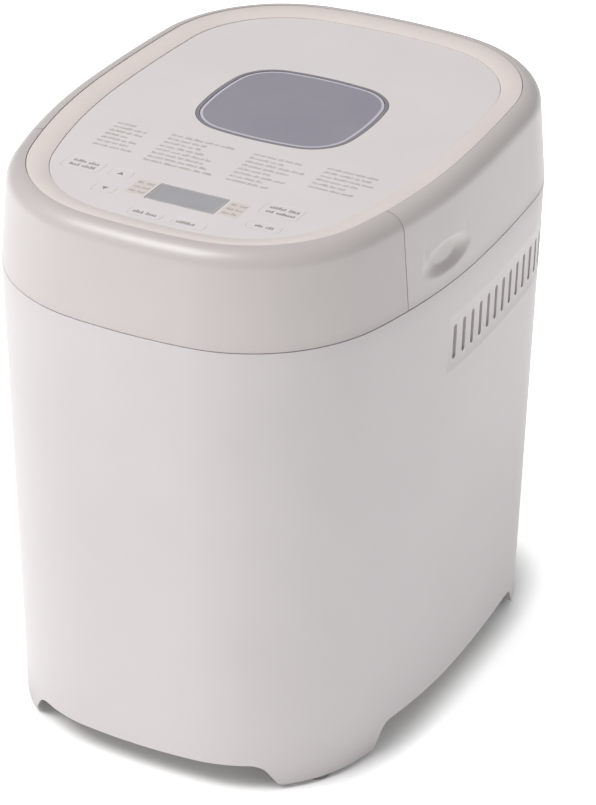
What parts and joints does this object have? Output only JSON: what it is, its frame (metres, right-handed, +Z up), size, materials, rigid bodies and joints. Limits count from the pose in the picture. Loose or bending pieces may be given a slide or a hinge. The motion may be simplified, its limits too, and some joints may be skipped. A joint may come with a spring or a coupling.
{
  "type": "bread machine",
  "caption": "Compact one-loaf bread machine: drafted shell on corner legs, hinged top lid with window and key panel, oven with heater, belt-driven kneading pan.",
  "frame": {"origin": "on the floor, under the middle of the machine's box, hinge included", "axes": "+X to the vented side, +Y to the hinge at the back, +Z up"},
  "size_m": [0.22, 0.3, 0.2935],
  "materials": {
    "shell": "smooth moulded off-white plastic",
    "panel": "pale grey printed sheet, satin",
    "ring": "warm beige satin paint on plastic",
    "grey_plastic": "moulded heat-resistant grey plastic",
    "rubber": "dark grey rubber",
    "steel": "plain steel",
    "oven_sheet": "pressed aluminised sheet",
    "heater_tube": "dull sheathed heater tube",
    "ceramic": "white steatite",
    "motor_can": "zinc-plated can",
    "brass": "sintered bronze",
    "pulley_plastic": "natural nylon",
    "cast_alloy": "die-cast alloy",
    "nonstick": "dark non-stick coating on aluminium",
    "circuit_board": "green circuit board",
    "component_black": "black component bodies",
    "window": "tinted grey glass",
    "display": "grey liquid-crystal display"
  },
  "bodies": {
    "base": {"outer_casing": "shell", "base_plate": "grey_plastic", "rubber_feet": "rubber", "case_screws": "steel", "front_collar": "shell", "top_deck": "grey_plastic", "cord_inlet": "rubber", "hinge_pins": "steel", "oven_chamber": "oven_sheet", "temperature_sensor": "steel", "thermal_fuse": "component_black", "heating_element": "heater_tube", "heater_terminals": "ceramic", "heater_brackets": "steel", "pan_seat": "steel", "drive_bridge": "steel", "bearing_housing": "brass", "drive_belt": "rubber", "motor": "motor_can", "motor_bracket": "steel", "power_board": "circuit_board", "board_components": "component_black"},
    "drive": {"drive_shaft": "steel", "drive_pulley": "pulley_plastic", "drive_coupling": "cast_alloy"},
    "motor_rotor": {"motor_shaft": "steel", "motor_pulley": "pulley_plastic"},
    "pan": {"bread_pan": "nonstick", "pan_base_ring": "grey_plastic", "pan_bush": "brass"},
    "bail": {"pan_handle": "steel"},
    "blade": {"blade_shaft": "steel", "wing_coupling": "cast_alloy", "kneading_blade": "nonstick"},
    "lid": {"lid_shell": "shell", "trim_ring": "ring", "top_panel": "panel", "window_frame": "grey_plastic", "window_glass": "window", "inner_window": "window", "lid_inner_cover": "grey_plastic", "lid_inner_plate": "oven_sheet", "lid_gasket": "rubber", "lid_screws": "steel", "lcd_lens": "display", "lcd_module": "display", "display_board": "circuit_board", "tact_switches": "component_black"},
    "key_menu_cap": {"key_menu": "panel"},
    "key_timer_up_cap": {"key_timer_up": "panel"},
    "key_timer_down_cap": {"key_timer_down": "panel"},
    "key_crust_cap": {"key_crust": "panel"},
    "key_loaf_size_cap": {"key_loaf_size": "panel"},
    "key_start_cap": {"key_start": "panel"},
    "key_stop_cap": {"key_stop": "panel"}
  },
  "joints": [
    {"name": "lid_hinge", "type": "hinge", "parent": "base", "child": "lid", "pos_m": [0, 0.1455, 0.247], "axis": [-1, 0, 0], "range_deg": [0, 80]},
    {"name": "pan_lift", "type": "slide", "parent": "base", "child": "pan", "axis": [0, 0, 1], "range_m": [0, 0.038]},
    {"name": "bail_swing", "type": "hinge", "parent": "pan", "child": "bail", "pos_m": [0, 0.013, 0.204], "axis": [-1, 0, 0], "range_deg": [0, 180]},
    {"name": "drive_spin", "type": "hinge", "parent": "base", "child": "drive", "pos_m": [0, 0.013, 0.06], "axis": [0, 0, 1], "continuous": true},
    {"name": "motor_spin", "type": "hinge", "parent": "base", "child": "motor_rotor", "pos_m": [0, -0.113, 0.06], "axis": [0, 0, 1], "continuous": true},
    {"name": "blade_spin", "type": "hinge", "parent": "pan", "child": "blade", "pos_m": [0, 0.013, 0.1], "axis": [0, 0, 1], "continuous": true},
    {"name": "key_menu_press", "type": "slide", "parent": "lid", "child": "key_menu_cap", "axis": [0, 0, -1], "range_m": [0, 0.0005], "stiffness_N_per_m": 800},
    {"name": "key_timer_up_press", "type": "slide", "parent": "lid", "child": "key_timer_up_cap", "axis": [0, 0, -1], "range_m": [0, 0.0005], "stiffness_N_per_m": 800},
    {"name": "key_timer_down_press", "type": "slide", "parent": "lid", "child": "key_timer_down_cap", "axis": [0, 0, -1], "range_m": [0, 0.0005], "stiffness_N_per_m": 800},
    {"name": "key_crust_press", "type": "slide", "parent": "lid", "child": "key_crust_cap", "axis": [0, 0, -1], "range_m": [0, 0.0005], "stiffness_N_per_m": 800},
    {"name": "key_loaf_size_press", "type": "slide", "parent": "lid", "child": "key_loaf_size_cap", "axis": [0, 0, -1], "range_m": [0, 0.0005], "stiffness_N_per_m": 800},
    {"name": "key_start_press", "type": "slide", "parent": "lid", "child": "key_start_cap", "axis": [0, 0, -1], "range_m": [0, 0.0005], "stiffness_N_per_m": 800},
    {"name": "key_stop_press", "type": "slide", "parent": "lid", "child": "key_stop_cap", "axis": [0, 0, -1], "range_m": [0, 0.0005], "stiffness_N_per_m": 800}
  ],
  "couplings": [
    {"joint": "motor_spin", "follows": "drive_spin", "ratio": 4},
    {"joint": "blade_spin", "follows": "drive_spin", "ratio": 1}
  ]
}
